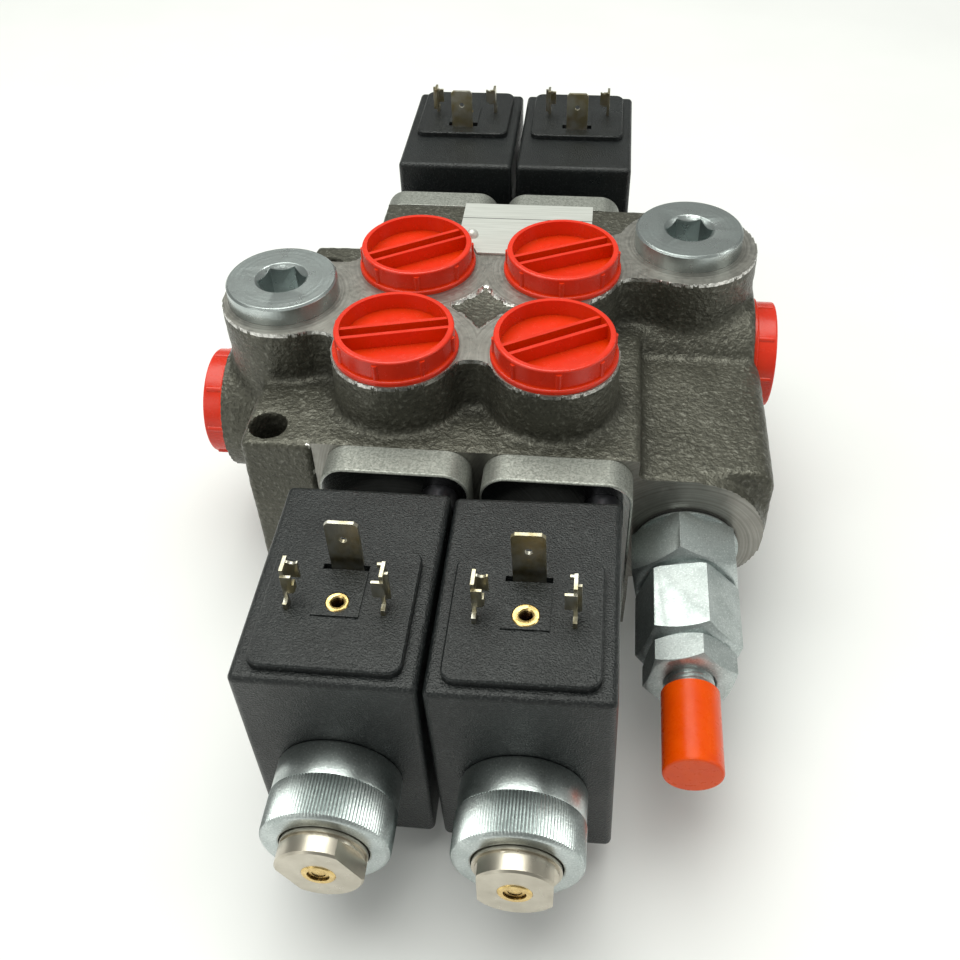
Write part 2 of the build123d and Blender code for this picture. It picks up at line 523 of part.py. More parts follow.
def name_plate_rivet():
    dome = Pos(0, 0, PLATE_T) * (Sphere(RIVET_R) & Pos(0, 0, RIVET_R / 2) * Box(4, 4, RIVET_R))
    dome = Pos(*RIVET_XY, TOP_H) * dome
    return dome + upright(RIVET_SHANK_R, *RIVET_XY, TOP_H - RIVET_SHANK, TOP_H + PLATE_T + 0.2)


# ---- relief valve, drawn on the Y axis -------------------------------------------------------
def relief_cartridge():
    body = hexagon_nut(HEX1_AF, HEX1_IN, HEX1_OUT, HEX1_TURN, near=0.6, far=1.3)
    body += turned((END_FACE, 0), (END_FACE, 11.9), (HEX1_IN, 11.9), (HEX1_IN, 0))
    body += turned((RELIEF_TIP, 0), (RELIEF_TIP, RELIEF_NOSE_R), (THREAD_START, RELIEF_NOSE_R),
                   (THREAD_START, RELIEF_THREAD_R), (END_FACE, RELIEF_THREAD_R), (END_FACE, 0))
    bore = turned((RELIEF_TIP - 1, 0), (RELIEF_TIP - 1, SEAT_HOLE_R), (SEAT_FACE, SEAT_HOLE_R),
                  (SEAT_FACE, POPPET_BORE_R), (SPRING_CHAMBER, POPPET_BORE_R),
                  (SPRING_CHAMBER, BONNET_ROOT_R), (HEX1_OUT + 1, BONNET_ROOT_R), (HEX1_OUT + 1, 0))
    inner, outer, thickness = RELIEF_SEAL
    return body - bore - ring(inner, outer + 1.2, END_FACE - 1, END_FACE + thickness)


def relief_seal():
    inner, outer, thickness = RELIEF_SEAL
    return ring(inner, outer, END_FACE, END_FACE + thickness)


def relief_bonnet():
    body = hexagon_nut(HEX2_AF, HEX2_IN, HEX2_OUT, HEX2_TURN, near=0.4, far=1.6)
    body += turned((SPRING_CHAMBER, 0), (SPRING_CHAMBER, BONNET_ROOT_R), (HEX1_OUT, BONNET_ROOT_R),
                   (HEX1_OUT, 9.2), (HEX2_IN, 9.2), (HEX2_IN, 0))
    return body - along_y(SPINDLE_BORE_R, -HEX2_OUT - 1, -56.0)


def relief_lock_nut():
    nut = hexagon_nut(LOCK_AF, HEX2_OUT, LOCK_OUT, LOCK_TURN, near=0.9, far=0.9)
    nut -= along_y(SPINDLE_BORE_R, -LOCK_OUT - 1, -HEX2_OUT + 1)
    chamfer_tool = Pos(0, -LOCK_OUT, 0) * Rot(90, 0, 0) * Cone(SPINDLE_BORE_R - 0.2, 6.0, 1.0)
    return nut - chamfer_tool


def relief_spindle():
    bar = turned((SEAT_OUT + 0.02, 0), (SEAT_OUT + 0.02, SPINDLE_R - 0.6),
                 (SEAT_OUT + 0.7, SPINDLE_R), (SPINDLE_OUT - 0.8, SPINDLE_R),
                 (SPINDLE_OUT, SPINDLE_R - 0.8), (SPINDLE_OUT, 0))
    return bar - hex_bar(5.0, SPINDLE_OUT - 5.0, SPINDLE_OUT + 1, 0)


def relief_cap():
    outer, inner, start, end, wall = RELIEF_CAP
    body = turned((start, inner), (start, outer), (end - 0.5, outer), (end - 0.15, outer - 0.15),
                  (end, outer - 0.5), (end, 0), (end - wall, 0), (end - wall, inner))
    return body


def relief_poppet():
    body = turned((32.6, 0), (32.6, 1.4), (SEAT_FACE - 0.3, SEAT_HOLE_R - 0.1),
                  (SEAT_FACE, SEAT_HOLE_R - 0.1), (SEAT_FACE + 1.6, POPPET_R),
                  (POPPET_OUT, POPPET_R), (POPPET_OUT, 2.4), (POPPET_OUT + 4, 2.4),
                  (POPPET_OUT + 4, 0))
    return body


def relief_spring_seat():
    return turned((SEAT_IN - 3, 0), (SEAT_IN - 3, 2.4), (SEAT_IN, 2.4), (SEAT_IN, 4.9),
                  (SEAT_OUT, 4.9), (SEAT_OUT, 0))


def relief_spring():
    return coil_spring(3.5, 0.7, 8, POPPET_OUT + 0.05, SEAT_IN - 0.05)


# ---- the assembly ----------------------------------------------------------------------------
def make_solenoids():
    shared = {name: [] for name in (
        "flange_screws", "solenoid_seals", "coil_spacers", "coil_windings", "coil_pole_rings",
        "connector_inserts", "coil_terminals", "tube_end_plugs", "override_bushes")}
    for side in SIDES:
        for hand, x in SPOOLS_X.items():
            name = f"{side}_{hand}"
            roll = COIL_ROLL[side, hand]
            parts[f"flange_{name}"] = place(flange(), side, x)
            parts[f"solenoid_tube_{name}"] = place(solenoid_tube(), side, x)
            parts[f"coil_housing_{name}"] = place(coil_housing(hand), side, x, roll)
            parts[f"coil_nut_{name}"] = place(coil_nut(), side, x)
            parts[f"override_pin_{name}"] = place(override_pin(), side, x)
            for xs, zs in FLANGE_SCREWS:
                shared["flange_screws"].append(place(flange_screw(xs, zs), side, x))
            shared["solenoid_seals"].append(place(tube_seal(), side, x))
            shared["solenoid_seals"].append(place(nut_seal(), side, x))
            shared["coil_spacers"].append(place(coil_spacer(), side, x))
            shared["coil_windings"].append(place(winding(), side, x, roll))
            for piece in pole_rings():
                shared["coil_pole_rings"].append(place(piece, side, x, roll))
            shared["connector_inserts"].append(place(connector_insert(hand), side, x, roll))
            for piece in (earth_blade(), side_blade(-1), side_blade(1)):
                shared["coil_terminals"].append(place(piece, side, x, roll))
            shared["tube_end_plugs"].append(place(end_plug(PLUG_TURN[side, hand]), side, x))
            shared["override_bushes"].append(place(override_bush(), side, x))
    for name, pieces in shared.items():
        parts[name] = group(pieces)


def make_spools():
    for hand, x in SPOOLS_X.items():
        parts[f"spool_{hand}"] = Pos(x, 0, AXIS_H) * spool()
        parts[f"armatures_{hand}"] = group([place(armature(), side, x) for side in SIDES])
        parts[f"push_pins_{hand}"] = group([place(push_pin(), side, x) for side in SIDES])
        parts[f"centring_springs_{hand}"] = group(
            [place(centring_spring(), side, x) for side in SIDES])


def make_caps_and_plugs():
    for hand, (x, y) in HEX_PLUGS.items():
        parts[f"hex_plug_{hand}"] = hex_plug(x, y, HEX_PLUG_TURN[hand])
    parts["plug_seals"] = group([plug_seal_ring(x, y) for x, y in HEX_PLUGS.values()])
    for port, y in PORTS_Y.items():
        for hand, x in SPOOLS_X.items():
            name = f"{port}_{hand}"
            parts[f"port_cap_{name}"] = Pos(x, y, TOP_H) * port_cap(CAP_TURN[name])
    parts["port_cap_tank"] = Pos(*TANK_PORT) * Rot(0, -90, 0) * port_cap(CAP_TURN["tank"])
    parts["port_cap_inlet"] = Pos(*INLET_PORT) * Rot(0, 90, 0) * port_cap(CAP_TURN["inlet"])
    parts["name_plate"] = name_plate()
    parts["name_plate_rivet"] = name_plate_rivet()


def make_relief_valve():
    at_axis = Pos(RELIEF_X, 0, AXIS_H)
    for piece in (relief_cartridge, relief_seal, relief_bonnet, relief_lock_nut, relief_spindle,
                  relief_cap, relief_poppet, relief_spring_seat, relief_spring):
        parts[piece.__name__] = at_axis * piece()


parts["valve_body"] = valve_body()
make_solenoids()
make_spools()
make_caps_and_plugs()
make_relief_valve()

for node, piece in parts.items():
    export_step(piece, f"parts/{node}.step")
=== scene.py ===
"""Looks of the two-spool solenoid valve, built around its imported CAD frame. Metres, +Z up."""
import json
from math import cos, pi, radians, sin

import bmesh
import bpy
import numpy as np
from mathutils import Matrix, Vector, noise


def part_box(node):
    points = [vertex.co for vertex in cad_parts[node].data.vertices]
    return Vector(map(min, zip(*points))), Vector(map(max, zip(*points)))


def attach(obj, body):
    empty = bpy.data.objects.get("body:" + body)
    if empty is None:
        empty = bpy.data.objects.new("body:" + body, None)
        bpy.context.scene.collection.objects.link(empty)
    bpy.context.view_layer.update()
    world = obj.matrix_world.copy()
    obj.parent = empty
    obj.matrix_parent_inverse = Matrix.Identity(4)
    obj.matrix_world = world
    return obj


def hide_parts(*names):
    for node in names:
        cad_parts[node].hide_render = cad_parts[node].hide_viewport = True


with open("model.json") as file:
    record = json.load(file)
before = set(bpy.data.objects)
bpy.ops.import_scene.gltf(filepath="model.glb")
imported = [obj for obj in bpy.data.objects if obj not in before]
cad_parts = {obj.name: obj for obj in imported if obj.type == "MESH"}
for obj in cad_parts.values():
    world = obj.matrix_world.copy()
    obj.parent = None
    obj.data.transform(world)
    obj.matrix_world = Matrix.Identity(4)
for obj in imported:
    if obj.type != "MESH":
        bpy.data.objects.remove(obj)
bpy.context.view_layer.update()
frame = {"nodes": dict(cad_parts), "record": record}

MM = 0.001
SIDES = ("front", "rear")
HANDS = ("left", "right")

# ---- camera ----------------------------------------------------------------------------------
CAMERA_AT = Vector((24.7, -215.0, 209.95)) * MM
CAMERA_PITCH, CAMERA_SWING, CAMERA_ROLL = radians(44.78), radians(-5.44), radians(-3.31)
CAMERA_LENS, SENSOR = 39.354, 36.0


def add_camera():
    pitch, swing, roll = CAMERA_PITCH, CAMERA_SWING, CAMERA_ROLL
    tilt = Matrix(((1, 0, 0), (0, sin(pitch), cos(pitch)), (0, -cos(pitch), sin(pitch))))
    turn = Matrix(((cos(swing), 0, sin(swing)), (0, 1, 0), (-sin(swing), 0, cos(swing))))
    lean = Matrix(((cos(roll), -sin(roll), 0), (sin(roll), cos(roll), 0), (0, 0, 1)))
    data = bpy.data.cameras.new("camera")
    data.lens, data.sensor_width = CAMERA_LENS, SENSOR
    data.clip_start = 0.01
    camera = bpy.data.objects.new("camera", data)
    camera.matrix_world = Matrix.Translation(CAMERA_AT) @ (lean @ turn @ tilt).transposed().to_4x4()
    bpy.context.collection.objects.link(camera)
    bpy.context.scene.camera = camera


# ---- shader building -------------------------------------------------------------------------
class Shader:
    """One Principled material, with short calls for the nodes that feed it."""

    def __init__(self, name, colour, roughness, metallic=0.0, **sockets):
        self.material = bpy.data.materials.new(name)
        self.material.use_nodes = True
        self.tree = self.material.node_tree
        self.main = self.tree.nodes["Principled BSDF"]
        self.main.inputs["Base Color"].default_value = (*colour, 1.0)
        self.main.inputs["Roughness"].default_value = roughness
        self.main.inputs["Metallic"].default_value = metallic
        for socket, value in sockets.items():
            self.main.inputs[socket.replace("_", " ")].default_value = value
        self.place = self.node("TexCoord").outputs["Object"]
        self.normal = None

    def node(self, kind, **settings):
        node = self.tree.nodes.new("ShaderNode" + kind)
        for name, value in settings.items():
            setattr(node, name, value)
        return node

    def feed(self, source, socket):
        if isinstance(source, bpy.types.NodeSocket):
            self.tree.links.new(source, socket)
        else:
            socket.default_value = source

    def stretched(self, x, y, z):
        """Object coordinates, scaled unevenly for grain that runs one way."""
        node = self.node("Mapping")
        self.feed(self.place, node.inputs["Vector"])
        node.inputs["Scale"].default_value = (x, y, z)
        return node.outputs["Vector"]

    def noise(self, size, detail=2.0, vector=None):
        node = self.node("TexNoise")
        self.feed(vector or self.place, node.inputs["Vector"])
        node.inputs["Scale"].default_value = 1 / size
        node.inputs["Detail"].default_value = detail
        return node.outputs["Fac"]

    def hollow(self, reach):
        """How open a place is to its surroundings, from 0 in a tight corner to 1."""
        node = self.node("AmbientOcclusion", samples=8)
        node.inputs["Distance"].default_value = reach
        return node.outputs["AO"]

    def math(self, operation, a, b=0.0):
        node = self.node("Math", operation=operation)
        self.feed(a, node.inputs[0])
        self.feed(b, node.inputs[1])
        return node.outputs[0]

    def ramp(self, factor, *stops):
        """Colour ramp from (position, colour) stops, where a colour may be one grey number."""
        node = self.node("ValToRGB")
        self.feed(factor, node.inputs["Fac"])
        elements = node.color_ramp.elements
        while len(elements) < len(stops):
            elements.new(0.5)
        for element, (position, colour) in zip(elements, stops):
            element.position = position
            rgb = colour if isinstance(colour, tuple) else (colour,) * 3
            element.color = (*rgb, 1.0)
        return node.outputs["Color"]

    def blend(self, factor, a, b):
        """Colour a where factor is 0 and colour b where it is 1."""
        node = self.node("Mix", data_type="RGBA")
        self.feed(factor, node.inputs["Factor"])
        for socket, value in ((node.inputs[6], a), (node.inputs[7], b)):
            self.feed((*value, 1.0) if isinstance(value, tuple) else value, socket)
        return node.outputs[2]

    def radius_from(self, centre, flat):
        """Distance from a line through centre, where flat keeps the axes it isn't along."""
        shift = self.node("VectorMath", operation="SUBTRACT")
        self.feed(self.place, shift.inputs[0])
        shift.inputs[1].default_value = centre
        keep = self.node("VectorMath", operation="MULTIPLY")
        self.feed(shift.outputs[0], keep.inputs[0])
        keep.inputs[1].default_value = flat
        length = self.node("VectorMath", operation="LENGTH")
        self.feed(keep.outputs[0], length.inputs[0])
        return length.outputs["Value"]

    def nearest_radius(self, centres, flat):
        """Distance from the nearest of several parallel lines."""
        radius = self.radius_from(centres[0], flat)
        for centre in centres[1:]:
            radius = self.math("MINIMUM", radius, self.radius_from(centre, flat))
        return radius

    def grooves(self, radius, spacing, wobble=0.0):
        """Tool marks: noise along a radius, so that the rings are uneven."""
        node = self.node("TexNoise", noise_dimensions="1D")
        self.feed(self.math("ADD", radius, wobble), node.inputs["W"])
        node.inputs["Scale"].default_value = 1 / spacing
        node.inputs["Detail"].default_value = 3.0
        return node.outputs["Fac"]

    def bump(self, height, distance, strength=1.0):
        node = self.node("Bump")
        self.feed(height, node.inputs["Height"])
        node.inputs["Distance"].default_value = distance
        node.inputs["Strength"].default_value = strength
        if self.normal:
            self.feed(self.normal, node.inputs["Normal"])
        self.normal = node.outputs["Normal"]
        self.feed(self.normal, self.main.inputs["Normal"])

    def colour(self, source):
        self.feed(source, self.main.inputs["Base Color"])

    def roughness(self, source):
        self.feed(source, self.main.inputs["Roughness"])


# ---- materials -------------------------------------------------------------------------------
def axis_of(node):
    """Centre of a node's box."""
    low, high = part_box(node)
    return (Vector(low) + Vector(high)) / 2


def cast_iron():
    s = Shader("cast_iron", (0.09, 0.088, 0.07), 0.5, 0.5)
    lumps, grain, stain = s.noise(1.0 * MM, 1), s.noise(0.40 * MM, 2), s.noise(14 * MM, 4)
    base = s.ramp(stain, (0.3, (0.070, 0.068, 0.052)), (0.7, (0.105, 0.102, 0.081)))
    # painted highlights on the lump crests and painted shade in the pits between the lumps
    base = s.blend(s.ramp(lumps, (0.58, 0.0), (0.74, 0.7)), base, (0.21, 0.207, 0.176))
    base = s.blend(s.ramp(lumps, (0.28, 0.5), (0.44, 0.0)), base, (0.034, 0.033, 0.027))
    # painted shade: the iron turns near black where the ambient occlusion finds recesses and corners
    s.colour(s.blend(s.ramp(s.hollow(5 * MM), (0.45, 0.75), (0.95, 0.0)), base, (0.022, 0.021, 0.017)))
    s.roughness(s.ramp(grain, (0.3, 0.52), (0.7, 0.30)))
    s.bump(lumps, 0.30 * MM)
    s.bump(grain, 0.14 * MM, 0.8)
    return s.material


def milled_iron(name, centres, flat):
    """Faced iron with arcs of tool marks round the given centres."""
    s = Shader(name, (0.4, 0.39, 0.36), 0.4, 0.85)
    radius = s.nearest_radius(centres, flat)
    marks = s.grooves(radius, 0.55 * MM, s.math("MULTIPLY", s.noise(9 * MM), 0.4 * MM))
    tone = s.ramp(marks, (0.3, (0.27, 0.262, 0.24)), (0.7, (0.40, 0.39, 0.36)))
    dirt = s.ramp(s.noise(7 * MM, 5), (0.35, 0.5), (0.6, 0.0))
    s.colour(s.blend(dirt, tone, (0.24, 0.23, 0.205)))
    s.roughness(s.ramp(s.noise(1.2 * MM, 3), (0.3, 0.30), (0.7, 0.46)))
    s.bump(marks, 0.03 * MM, 0.8)
    s.bump(s.noise(0.3 * MM), 0.02 * MM, 0.5)
    return s.material


def burr_iron():
    s = Shader("burr_iron", (0.55, 0.54, 0.51), 0.3, 1.0)
    s.colour(s.ramp(s.noise(1.0 * MM, 3), (0.35, (0.34, 0.33, 0.31)), (0.6, (0.82, 0.81, 0.78))))
    s.bump(s.noise(0.5 * MM, 3), 0.15 * MM)
    return s.material


def tumbled_aluminium():
    s = Shader("tumbled_aluminium", (0.58, 0.59, 0.56), 0.55, 0.9)
    peen, streak = s.noise(0.45 * MM, 2), s.noise(1.0 * MM, 2, s.stretched(1.6, 0.12, 1.6))
    base = s.ramp(peen, (0.35, (0.25, 0.26, 0.235)), (0.66, (0.45, 0.46, 0.425)))
    s.colour(s.blend(s.ramp(streak, (0.4, 0.0), (0.7, 0.4)), base, (0.26, 0.27, 0.245)))
    s.roughness(s.ramp(peen, (0.3, 0.62), (0.7, 0.48)))
    s.bump(peen, 0.05 * MM, 0.9)
    s.bump(s.noise(3 * MM, 3), 0.06 * MM, 0.4)
    return s.material


def machined_alloy():
    """Milled outer face of a flange, which mirrors the coil in front of it."""
    s = Shader("machined_alloy", (0.34, 0.35, 0.34), 0.16, 1.0)
    sweep = s.grooves(s.nearest_radius([axis_of("flange_front_left")], (1, 0, 1)), 0.5 * MM)
    s.colour(s.ramp(sweep, (0.3, (0.28, 0.29, 0.28)), (0.7, (0.40, 0.41, 0.40))))
    s.bump(sweep, 0.02 * MM, 0.6)
    return s.material


def black_moulding():
    s = Shader("black_moulding", (0.012, 0.014, 0.014), 0.40, Specular_IOR_Level=0.42)
    grit, cloud = s.noise(0.34 * MM, 2), s.noise(12 * MM, 4)
    base = s.ramp(cloud, (0.3, (0.003, 0.0042, 0.0046)), (0.72, (0.009, 0.0115, 0.0120)))
    # painted glints: sparse light specks standing in for light sparkling on the moulding's grain
    painted_glints = s.ramp(s.noise(0.55 * MM, 4), (0.54, 0.0), (0.72, 0.6))
    s.colour(s.blend(painted_glints, base, (0.058, 0.063, 0.062)))
    s.roughness(s.ramp(cloud, (0.3, 0.42), (0.7, 0.27)))
    s.bump(grit, 0.20 * MM)
    s.bump(s.noise(2.5 * MM, 3), 0.10 * MM, 0.4)
    return s.material


def zinc(name="zinc", gloss=0.36, centres=None, flat=None, mottle=1.0):
    """Bright zinc plate, with turning rings where it is given axes."""
    s = Shader(name, (0.50, 0.545, 0.535), gloss, 1.0)
    peel, cloud = s.noise(0.38 * MM, 2), s.noise(5 * MM, 4)
    base = s.ramp(cloud, (0.3, (0.42, 0.465, 0.46)), (0.7, (0.56, 0.605, 0.60)))
    base = s.blend(s.ramp(peel, (0.30, 0.5 * mottle), (0.44, 0.0)), base, (0.30, 0.335, 0.33))
    s.colour(s.blend(s.ramp(peel, (0.56, 0.0), (0.70, 0.6 * mottle)), base, (0.78, 0.82, 0.81)))
    s.roughness(s.ramp(cloud, (0.3, gloss + 0.05), (0.7, gloss - 0.05)))
    s.bump(peel, 0.035 * MM, 0.8)
    if centres:
        s.bump(s.grooves(s.nearest_radius(centres, flat), 0.7 * MM), 0.035 * MM, 0.7)
    return s.material


def nickel():
    s = Shader("nickel", (0.56, 0.515, 0.43), 0.3, 1.0)
    cloud = s.noise(4 * MM, 4)
    s.colour(s.ramp(cloud, (0.3, (0.49, 0.45, 0.375)), (0.7, (0.61, 0.565, 0.48))))
    s.roughness(s.ramp(s.noise(2.0 * MM, 3), (0.3, 0.36), (0.7, 0.27)))
    centres = [axis_of(f"override_pin_front_{hand}") for hand in HANDS]
    s.bump(s.grooves(s.nearest_radius(centres, (1, 0, 1)), 0.35 * MM), 0.008 * MM, 0.6)
    return s.material


def tinned_brass():
    s = Shader("tinned_brass", (0.58, 0.56, 0.46), 0.32, 1.0)
    cloud = s.noise(3.5 * MM, 2)
    s.colour(s.ramp(cloud, (0.35, (0.46, 0.40, 0.24)), (0.62, (0.62, 0.60, 0.52))))
    s.roughness(s.ramp(s.noise(0.5 * MM, 2, s.stretched(1, 1, 0.15)), (0.3, 0.38), (0.7, 0.28)))
    s.bump(s.noise(0.35 * MM, 2, s.stretched(1, 1, 0.12)), 0.008 * MM, 0.6)
    return s.material


def brass():
    s = Shader("brass", (0.80, 0.56, 0.22), 0.24, 1.0)
    base = s.ramp(s.noise(1.2 * MM, 3), (0.3, (0.62, 0.43, 0.16)), (0.7, (0.84, 0.63, 0.28)))
    # painted shade: the brass turns dark brown deep in the bore, where the ambient occlusion finds it
    # enclosed
    s.colour(s.blend(s.ramp(s.hollow(3 * MM), (0.45, 1.0), (0.75, 0.0)), base, (0.022, 0.008, 0.003)))
    s.roughness(s.ramp(s.noise(0.5 * MM, 3), (0.3, 0.34), (0.7, 0.2)))
    s.bump(s.noise(0.3 * MM, 2), 0.02 * MM, 0.7)
    return s.material


def moulded_red():
    s = Shader("moulded_red", (0.70, 0.030, 0.012), 0.26, Specular_IOR_Level=0.4,
               Subsurface_Weight=0.12, Subsurface_Scale=1.2 * MM)
    flow = s.noise(9 * MM, 4)
    base = s.ramp(flow, (0.3, (0.66, 0.028, 0.010)), (0.7, (0.78, 0.038, 0.014)))
    # painted reflection: recesses turn a deeper orange, standing in for light bounced around inside
    # the cap
    s.colour(s.blend(s.ramp(s.hollow(7 * MM), (0.35, 1.0), (0.9, 0.0)), base, (0.66, 0.038, 0.0)))
    s.roughness(s.ramp(s.noise(2.2 * MM, 4), (0.3, 0.30), (0.7, 0.20)))
    s.bump(s.noise(3.5 * MM, 3), 0.10 * MM, 0.5)
    s.bump(s.noise(0.3 * MM, 2), 0.01 * MM, 0.6)
    return s.material


def dipped_orange():
    s = Shader("dipped_orange", (0.80, 0.075, 0.0), 0.32, Specular_IOR_Level=0.25,
               Subsurface_Weight=0.10, Subsurface_Scale=1.0 * MM)
    flow = s.noise(5 * MM, 4)
    s.colour(s.ramp(flow, (0.3, (0.74, 0.064, 0.0)), (0.7, (0.82, 0.085, 0.0))))
    s.roughness(s.ramp(s.noise(1.5 * MM, 3), (0.3, 0.36), (0.7, 0.24)))
    s.bump(s.noise(4 * MM, 3), 0.14 * MM, 0.5)
    s.bump(s.noise(0.35 * MM, 2), 0.015 * MM, 0.6)
    return s.material


def ground_steel():
    s = Shader("ground_steel", (0.5, 0.5, 0.5), 0.22, 1.0)
    s.colour(s.ramp(s.noise(3 * MM, 4), (0.3, (0.42, 0.42, 0.43)), (0.7, (0.58, 0.58, 0.58))))
    s.bump(s.noise(0.5 * MM, 2, s.stretched(0.1, 1, 0.1)), 0.02 * MM, 0.7)
    return s.material


def black_steel():
    s = Shader("black_steel", (0.03, 0.03, 0.032), 0.3, 0.9)
    s.colour(s.ramp(s.noise(1.5 * MM, 3), (0.3, (0.018, 0.018, 0.021)), (0.7, (0.045, 0.044, 0.050))))
    s.bump(s.noise(0.3 * MM, 2), 0.02 * MM, 0.6)
    return s.material


def spring_steel():
    s = Shader("spring_steel", (0.3, 0.3, 0.31), 0.3, 1.0)
    s.colour(s.ramp(s.noise(0.8 * MM, 3), (0.3, (0.22, 0.22, 0.23)), (0.7, (0.38, 0.38, 0.39))))
    s.bump(s.noise(0.3 * MM, 2), 0.02 * MM, 0.6)
    return s.material


def copper_wire():
    s = Shader("copper_wire", (0.72, 0.33, 0.16), 0.3, 1.0)
    turns = s.grooves(s.nearest_radius([Vector((0, 0, 0))], (0, 1, 0)), 0.4 * MM)
    s.colour(s.ramp(turns, (0.3, (0.50, 0.20, 0.09)), (0.7, (0.82, 0.42, 0.22))))
    s.bump(turns, 0.12 * MM)
    return s.material


def black_rubber():
    s = Shader("black_rubber", (0.018, 0.018, 0.019), 0.45)
    s.colour(s.ramp(s.noise(2 * MM, 3), (0.3, 0.012), (0.7, 0.026)))
    s.roughness(s.ramp(s.noise(1.2 * MM, 3), (0.3, 0.52), (0.7, 0.36)))
    s.bump(s.noise(0.4 * MM, 2), 0.03 * MM, 0.7)
    return s.material


RULE_FROM_REAR = 7.2 * MM        # the printed rule's distance from the plate's rear edge


def plate_alloy():
    """Blank name plate: brushed along its length, with one printed rule near the rear edge."""
    s = Shader("plate_alloy", (0.70, 0.71, 0.68), 0.40, 0.35)
    brush = s.noise(0.5 * MM, 3, s.stretched(0.04, 1, 1))
    base = s.ramp(brush, (0.3, (0.54, 0.555, 0.52)), (0.7, (0.66, 0.675, 0.64)))
    axis = s.node("SeparateXYZ")
    s.feed(s.place, axis.inputs[0])
    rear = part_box("name_plate")[1].y
    offset = s.math("ABSOLUTE", s.math("SUBTRACT", axis.outputs["Y"], rear - RULE_FROM_REAR))
    rule = s.ramp(s.math("MULTIPLY", offset, 1 / MM), (0.10, 1.0), (0.16, 0.0))
    s.colour(s.blend(rule, base, (0.05, 0.05, 0.05)))
    s.bump(brush, 0.02 * MM, 0.7)
    return s.material


# ---- the object's materials by the record's slots --------------------------------------------
port_axes = [axis_of(f"port_cap_{name}") for name in ("a_left", "a_right", "b_left", "b_right")]
plug_axes = [axis_of(f"hex_plug_{hand}") for hand in HANDS]
relief_axis = axis_of("relief_cartridge")

MATERIALS = {
    "cast_body": cast_iron(), "flange_alloy": tumbled_aluminium(), "zinc_steel": zinc(gloss=0.46),
    "ground_steel": ground_steel(), "spring_steel": spring_steel(), "nickel_plate": nickel(),
    "black_steel": black_steel(), "black_housing": black_moulding(),
    "tinned_brass": tinned_brass(), "brass": brass(), "copper_wire": copper_wire(),
    "black_rubber": black_rubber(), "red_plastic": moulded_red(),
    "orange_plastic": dipped_orange(), "plate_alloy": plate_alloy()}
SLOT_OF = {part["node"]: part["material_slot"] for part in frame["record"]["subparts"]}
BODY_OF = {node: body for body, nodes in frame["record"]["behaviour"]["bodies"].items()
           for node in nodes}


def dress_cad_nodes():
    for node, slot in SLOT_OF.items():
        data = frame["nodes"][node].data
        data.materials.clear()
        data.materials.append(MATERIALS[slot])


# ---- mesh helpers ----------------------------------------------------------------------------
def finish_piece(mesh, name, *nodes, materials=None, sharp=32.0):
    """Make an object of a mesh that stands for CAD nodes, and let it ride as they do."""
    mesh.shade_smooth()
    mesh.set_sharp_from_angle(angle=radians(sharp))
    for material in materials or [MATERIALS[SLOT_OF[nodes[0]]]]:
        mesh.materials.append(material)
    piece = bpy.data.objects.new(name, mesh)
    bpy.context.collection.objects.link(piece)
    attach(piece, BODY_OF[nodes[0]])
    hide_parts(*nodes)
    return piece


def closed_rings(points):
    """Mesh from rings of points, joined round each ring and from the last ring to the first."""
    rings, spokes, _ = points.shape
    ring, spoke = np.meshgrid(np.arange(rings), np.arange(spokes), indexing="ij")
    after, beside = (ring + 1) % rings, (spoke + 1) % spokes
    corners = [ring * spokes + spoke, ring * spokes + beside,
               after * spokes + beside, after * spokes + spoke]
    faces = np.stack(corners, -1).reshape(-1, 4)
    mesh = bpy.data.meshes.new("rings")
    mesh.from_pydata(points.reshape(-1, 3).tolist(), [], faces.tolist())
    return mesh


def joined(meshes):
    """One mesh from several, with its faces turned outwards."""
    work = bmesh.new()
    for mesh in meshes:
        work.from_mesh(mesh)
    bmesh.ops.recalc_face_normals(work, faces=work.faces)
    result = bpy.data.meshes.new("joined")
    work.to_mesh(result)
    work.free()
    return result


def eased_copy(node, name, width, angle=30.0):
    """Copy of a CAD node with small rounded edges."""
    work = bmesh.new()
    work.from_mesh(frame["nodes"][node].data)
    bmesh.ops.remove_doubles(work, verts=work.verts, dist=0.002 * MM)
    bmesh.ops.dissolve_limit(work, angle_limit=radians(0.5), verts=work.verts, edges=work.edges)
    mesh = bpy.data.meshes.new(name)
    work.to_mesh(mesh)
    work.free()
    piece = finish_piece(mesh, name, node, sharp=angle)
    bevel = piece.modifiers.new("ease", "BEVEL")
    bevel.width, bevel.segments = width, 2
    bevel.limit_method, bevel.angle_limit = "ANGLE", radians(angle)
    bevel.harden_normals = True
    return piece


def flange_piece(side, hand, outer):
    """Flange with rounded edges whose outer face is machined."""
    piece = eased_copy(f"flange_{side}_{hand}", f"square_flange_{side}_{hand}", 0.35 * MM)
    piece.data.materials.append(outer)
    for face in piece.data.polygons:
        face.material_index = int(abs(face.normal.y) > 0.9)


def turned_zinc_plug(hand):
    """Socket plug with turning rings on its collar."""
    node = f"hex_plug_{hand}"
    piece = eased_copy(node, f"socket_plug_{hand}", 0.12 * MM)
    piece.data.materials[0] = zinc(f"turned_zinc_{hand}", 0.30, [axis_of(node)], (1, 1, 0), 0.3)
    return piece


# ---- knurled coil nuts -----------------------------------------------------------------------
KNURL_TEETH, KNURL_DEPTH = 120, 0.30 * MM
NUT_BORE, NUT_COUNTERBORE = 8.0 * MM, 8.4 * MM
BAND_STEP = 0.12 * MM            # how far the plain band lies below the knurl's crests
TOOTH = np.array([0.0, 0.35, 1.0, 0.35])        # share of the depth cut away along one tooth


